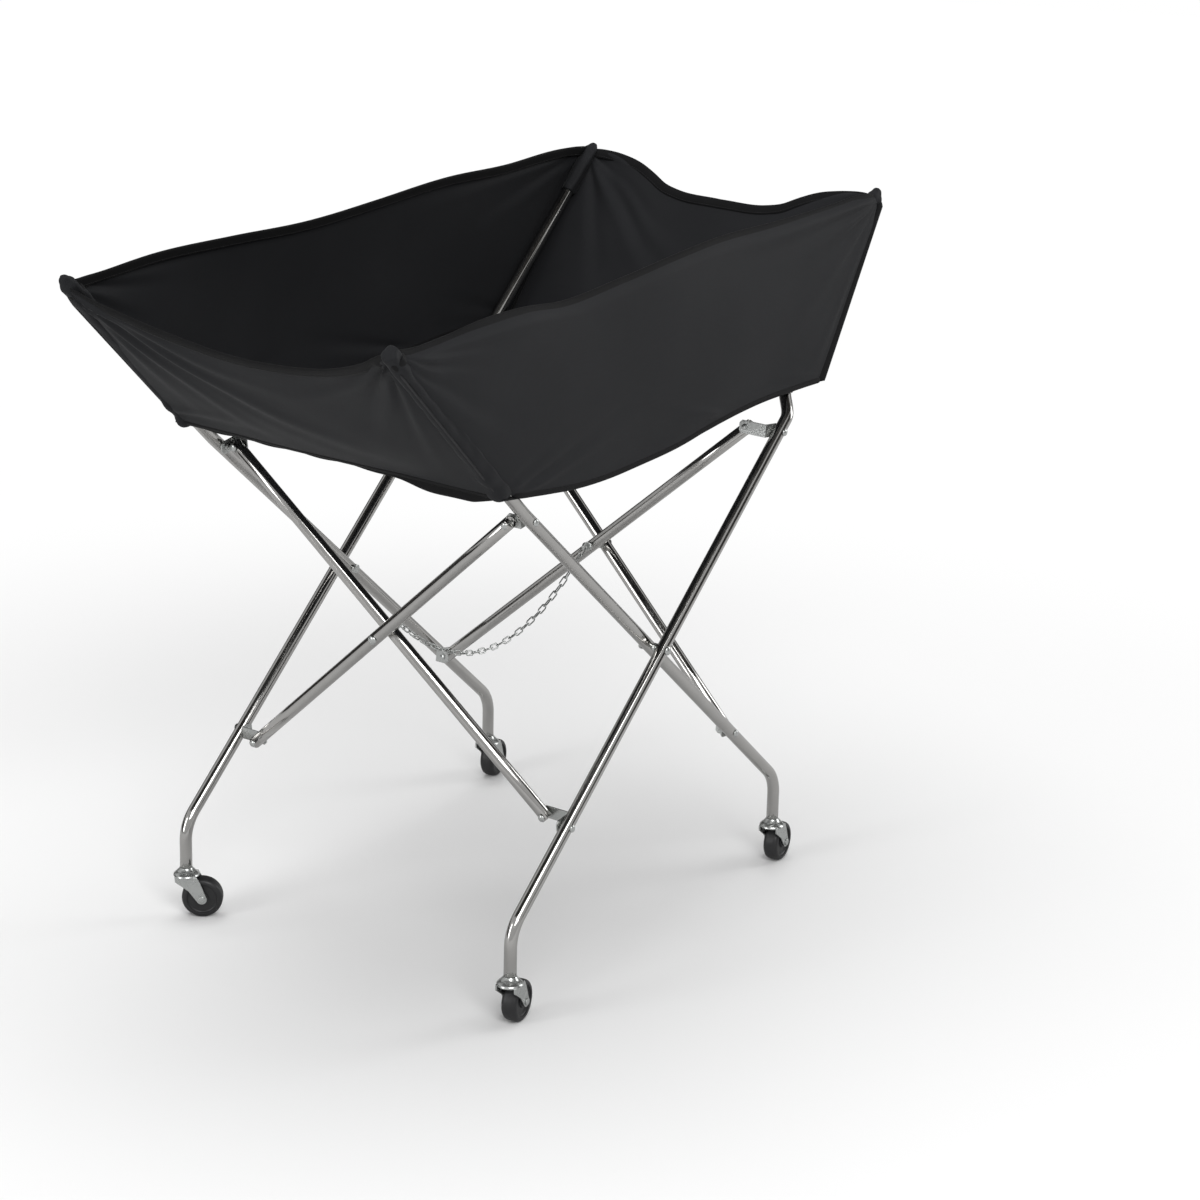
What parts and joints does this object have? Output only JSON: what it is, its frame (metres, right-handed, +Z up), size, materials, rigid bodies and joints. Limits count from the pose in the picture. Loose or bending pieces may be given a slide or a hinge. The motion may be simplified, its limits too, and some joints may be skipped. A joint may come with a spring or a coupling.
{
  "type": "ball cart",
  "caption": "Folding ball cart: crossed chromed tube legs and side struts on swivel casters carry a deep fabric hammock basket with raised corners.",
  "frame": {"origin": "on the floor under the middle of the cart", "axes": "+X along the cart, +Y from the front crossing to the rear crossing, +Z up"},
  "size_m": [1.122, 0.5985, 0.95],
  "materials": {
    "tube": "polished",
    "fitting": "zinc plated",
    "chain": "zinc plated",
    "wheel": "moulded",
    "cloth": "woven nylon"
  },
  "bodies": {
    "front_pivot": {"pivot_front": "fitting"},
    "front_inner_leg": {"leg_front_inner": "tube", "leg_rivet_front_left_upper": "fitting", "leg_rivet_front_right_lower": "fitting", "caster_stem_front_right": "fitting", "basket_front": "cloth", "basket_left": "cloth"},
    "front_outer_leg": {"leg_front_outer": "tube", "leg_rivet_front_right_upper": "fitting", "leg_rivet_front_left_lower": "fitting", "caster_stem_front_left": "fitting", "basket_right": "cloth"},
    "rear_inner_leg": {"leg_rear_inner": "tube", "leg_rivet_rear_left_upper": "fitting", "leg_rivet_rear_right_lower": "fitting", "caster_stem_rear_right": "fitting", "basket_rear": "cloth"},
    "rear_outer_leg": {"leg_rear_outer": "tube", "leg_rivet_rear_right_upper": "fitting", "leg_rivet_rear_left_lower": "fitting", "caster_stem_rear_left": "fitting", "pivot_rear": "fitting"},
    "bracket_front_left_upper": {"bracket_front_left_upper": "fitting", "strut_rivet_front_left_upper": "fitting"},
    "bracket_rear_left_upper": {"bracket_rear_left_upper": "fitting", "strut_rivet_rear_left_upper": "fitting"},
    "bracket_front_right_upper": {"bracket_front_right_upper": "fitting", "strut_rivet_front_right_upper": "fitting"},
    "bracket_rear_right_upper": {"bracket_rear_right_upper": "fitting", "strut_rivet_rear_right_upper": "fitting"},
    "bracket_front_left_lower": {"bracket_front_left_lower": "fitting", "strut_rivet_front_left_lower": "fitting"},
    "bracket_rear_left_lower": {"bracket_rear_left_lower": "fitting", "strut_rivet_rear_left_lower": "fitting"},
    "bracket_front_right_lower": {"bracket_front_right_lower": "fitting", "strut_rivet_front_right_lower": "fitting"},
    "bracket_rear_right_lower": {"bracket_rear_right_lower": "fitting", "strut_rivet_rear_right_lower": "fitting"},
    "left_outer_strut": {"strut_left_outer": "tube", "pivot_left": "fitting"},
    "left_inner_strut": {"strut_left_inner": "tube"},
    "right_inner_strut": {"strut_right_inner": "tube", "pivot_right": "fitting"},
    "right_outer_strut": {"strut_right_outer": "tube"},
    "chain_hanging": {"chain": "chain"},
    "floor_front_leaf": {"floor_front": "cloth"},
    "floor_rear_leaf": {"floor_rear": "cloth"},
    "fork_front_left": {"caster_fork_front_left": "fitting", "caster_axle_front_left": "fitting"},
    "wheel_front_left": {"caster_wheel_front_left": "wheel"},
    "fork_front_right": {"caster_fork_front_right": "fitting", "caster_axle_front_right": "fitting"},
    "wheel_front_right": {"caster_wheel_front_right": "wheel"},
    "fork_rear_left": {"caster_fork_rear_left": "fitting", "caster_axle_rear_left": "fitting"},
    "wheel_rear_left": {"caster_wheel_rear_left": "wheel"},
    "fork_rear_right": {"caster_fork_rear_right": "fitting", "caster_axle_rear_right": "fitting"},
    "wheel_rear_right": {"caster_wheel_rear_right": "wheel"}
  },
  "joints": [
    {"name": "fold", "type": "hinge", "parent": "front_inner_leg", "child": "front_outer_leg", "pos_m": [0, -0.28, 0.42703], "axis": [0, -1, 0], "range_deg": [0, 70], "deforming": ["basket_front", "basket_rear", "basket_left", "basket_right", "floor_front", "floor_rear", "chain"]},
    {"name": "front_inner_turn", "type": "hinge", "parent": "front_pivot", "child": "front_inner_leg", "pos_m": [0, -0.258, 0.42703], "axis": [0, 1, 0], "range_deg": [0, 35]},
    {"name": "bracket_front_left_upper_turn", "type": "hinge", "parent": "front_inner_leg", "child": "bracket_front_left_upper", "pos_m": [-0.26943, -0.258, 0.66836], "axis": [0, 1, 0], "range_deg": [-28.64, 0]},
    {"name": "left_outer_strut_turn", "type": "hinge", "parent": "bracket_front_left_upper", "child": "left_outer_strut", "pos_m": [-0.28745, -0.2371, 0.6658], "axis": [0.9901, 0, 0.1404], "range_deg": [-34.59, 0]},
    {"name": "left_crossing", "type": "hinge", "parent": "left_outer_strut", "child": "left_inner_strut", "pos_m": [-0.22842, 0, 0.45571], "axis": [0.9901, 0, 0.1404], "range_deg": [0, 69.19]},
    {"name": "bracket_rear_left_upper_turn", "type": "hinge", "parent": "left_inner_strut", "child": "bracket_rear_left_upper", "pos_m": [-0.25873, 0.2371, 0.66987], "axis": [0.9901, 0, 0.1404], "range_deg": [-34.59, 0]},
    {"name": "bracket_front_left_lower_turn", "type": "hinge", "parent": "left_inner_strut", "child": "bracket_front_left_lower", "pos_m": [-0.1981, -0.2371, 0.24154], "axis": [0.9901, 0, 0.1404], "range_deg": [-34.59, 0]},
    {"name": "bracket_rear_left_lower_turn", "type": "hinge", "parent": "left_outer_strut", "child": "bracket_rear_left_lower", "pos_m": [-0.22681, 0.2371, 0.23747], "axis": [0.9901, 0, 0.1404], "range_deg": [0, 34.59]},
    {"name": "bracket_front_right_upper_turn", "type": "hinge", "parent": "front_outer_leg", "child": "bracket_front_right_upper", "pos_m": [0.26943, -0.28, 0.66836], "axis": [0, 1, 0], "range_deg": [0, 28.64]},
    {"name": "right_inner_strut_turn", "type": "hinge", "parent": "bracket_front_right_upper", "child": "right_inner_strut", "pos_m": [0.25873, -0.2371, 0.66987], "axis": [0.9901, 0, -0.1404], "range_deg": [-34.59, 0]},
    {"name": "right_crossing", "type": "hinge", "parent": "right_inner_strut", "child": "right_outer_strut", "pos_m": [0.25713, 0, 0.45163], "axis": [0.9901, 0, -0.1404], "range_deg": [0, 69.19]},
    {"name": "bracket_rear_right_lower_turn", "type": "hinge", "parent": "right_inner_strut", "child": "bracket_rear_right_lower", "pos_m": [0.1981, 0.2371, 0.24154], "axis": [0.9901, 0, -0.1404], "range_deg": [0, 34.59]},
    {"name": "bracket_rear_right_upper_turn", "type": "hinge", "parent": "right_outer_strut", "child": "bracket_rear_right_upper", "pos_m": [0.28745, 0.2371, 0.6658], "axis": [0.9901, 0, -0.1404], "range_deg": [-34.59, 0]},
    {"name": "bracket_front_right_lower_turn", "type": "hinge", "parent": "right_outer_strut", "child": "bracket_front_right_lower", "pos_m": [0.22681, -0.2371, 0.23747], "axis": [0.9901, 0, -0.1404], "range_deg": [-34.59, 0]},
    {"name": "rear_inner_turn", "type": "hinge", "parent": "bracket_rear_left_upper", "child": "rear_inner_leg", "pos_m": [-0.26943, 0.258, 0.66836], "axis": [0, 1, 0], "range_deg": [0, 28.64]},
    {"name": "rear_crossing", "type": "hinge", "parent": "rear_inner_leg", "child": "rear_outer_leg", "pos_m": [0, 0.28, 0.42703], "axis": [0, -1, 0], "range_deg": [0, 70]},
    {"name": "chain_turn", "type": "hinge", "parent": "left_outer_strut", "child": "chain_hanging", "pos_m": [-0.25713, 0, 0.45163], "axis": [0.9901, 0, 0.1404], "range_deg": [0, 34.59]},
    {"name": "floor_front_swing", "type": "hinge", "parent": "bracket_front_right_upper", "child": "floor_front_leaf", "pos_m": [0, -0.268, 0.712], "axis": [1, 0, 0], "range_deg": [-70, 0]},
    {"name": "floor_rear_swing", "type": "hinge", "parent": "bracket_rear_right_upper", "child": "floor_rear_leaf", "pos_m": [0, 0.268, 0.712], "axis": [1, 0, 0], "range_deg": [0, 70]},
    {"name": "swivel_front_left", "type": "hinge", "parent": "front_outer_leg", "child": "fork_front_left", "pos_m": [-0.3273, -0.28, 0.066], "axis": [0, 0, 1], "continuous": true},
    {"name": "spin_front_left", "type": "hinge", "parent": "fork_front_left", "child": "wheel_front_left", "pos_m": [-0.30578, -0.27543, 0.02836], "axis": [-0.2079, 0.9781, 0], "continuous": true},
    {"name": "swivel_front_right", "type": "hinge", "parent": "front_inner_leg", "child": "fork_front_right", "pos_m": [0.3273, -0.258, 0.066], "axis": [0, 0, 1], "continuous": true},
    {"name": "spin_front_right", "type": "hinge", "parent": "fork_front_right", "child": "wheel_front_right", "pos_m": [0.34903, -0.25456, 0.02836], "axis": [-0.1564, 0.9877, 0], "continuous": true},
    {"name": "swivel_rear_left", "type": "hinge", "parent": "rear_outer_leg", "child": "fork_rear_left", "pos_m": [-0.3273, 0.28, 0.066], "axis": [0, 0, 1], "continuous": true},
    {"name": "spin_rear_left", "type": "hinge", "parent": "fork_rear_left", "child": "wheel_rear_left", "pos_m": [-0.31459, 0.26204, 0.02836], "axis": [0.8161, 0.5779, 0], "continuous": true},
    {"name": "swivel_rear_right", "type": "hinge", "parent": "rear_inner_leg", "child": "fork_rear_right", "pos_m": [0.3273, 0.258, 0.066], "axis": [0, 0, 1], "continuous": true},
    {"name": "spin_rear_right", "type": "hinge", "parent": "fork_rear_right", "child": "wheel_rear_right", "pos_m": [0.34874, 0.26295, 0.02836], "axis": [-0.225, 0.9744, 0], "continuous": true}
  ],
  "couplings": [
    {"joint": "front_inner_turn", "follows": "fold", "ratio": 0.5},
    {"joint": "bracket_front_left_upper_turn", "follows": "fold", "ratio": -0.40914},
    {"joint": "left_outer_strut_turn", "follows": "fold", "ratio": -0.4942},
    {"joint": "left_crossing", "follows": "fold", "ratio": 0.98841},
    {"joint": "bracket_rear_left_upper_turn", "follows": "fold", "ratio": -0.4942},
    {"joint": "bracket_front_left_lower_turn", "follows": "fold", "ratio": -0.4942},
    {"joint": "bracket_rear_left_lower_turn", "follows": "fold", "ratio": 0.4942},
    {"joint": "bracket_front_right_upper_turn", "follows": "fold", "ratio": 0.40914},
    {"joint": "right_inner_strut_turn", "follows": "fold", "ratio": -0.4942},
    {"joint": "right_crossing", "follows": "fold", "ratio": 0.98841},
    {"joint": "bracket_rear_right_lower_turn", "follows": "fold", "ratio": 0.4942},
    {"joint": "bracket_rear_right_upper_turn", "follows": "fold", "ratio": -0.4942},
    {"joint": "bracket_front_right_lower_turn", "follows": "fold", "ratio": -0.4942},
    {"joint": "rear_inner_turn", "follows": "fold", "ratio": 0.40914},
    {"joint": "rear_crossing", "follows": "fold", "ratio": 1},
    {"joint": "chain_turn", "follows": "fold", "ratio": 0.4942},
    {"joint": "floor_front_swing", "follows": "fold", "ratio": -1},
    {"joint": "floor_rear_swing", "follows": "fold", "ratio": 1}
  ]
}
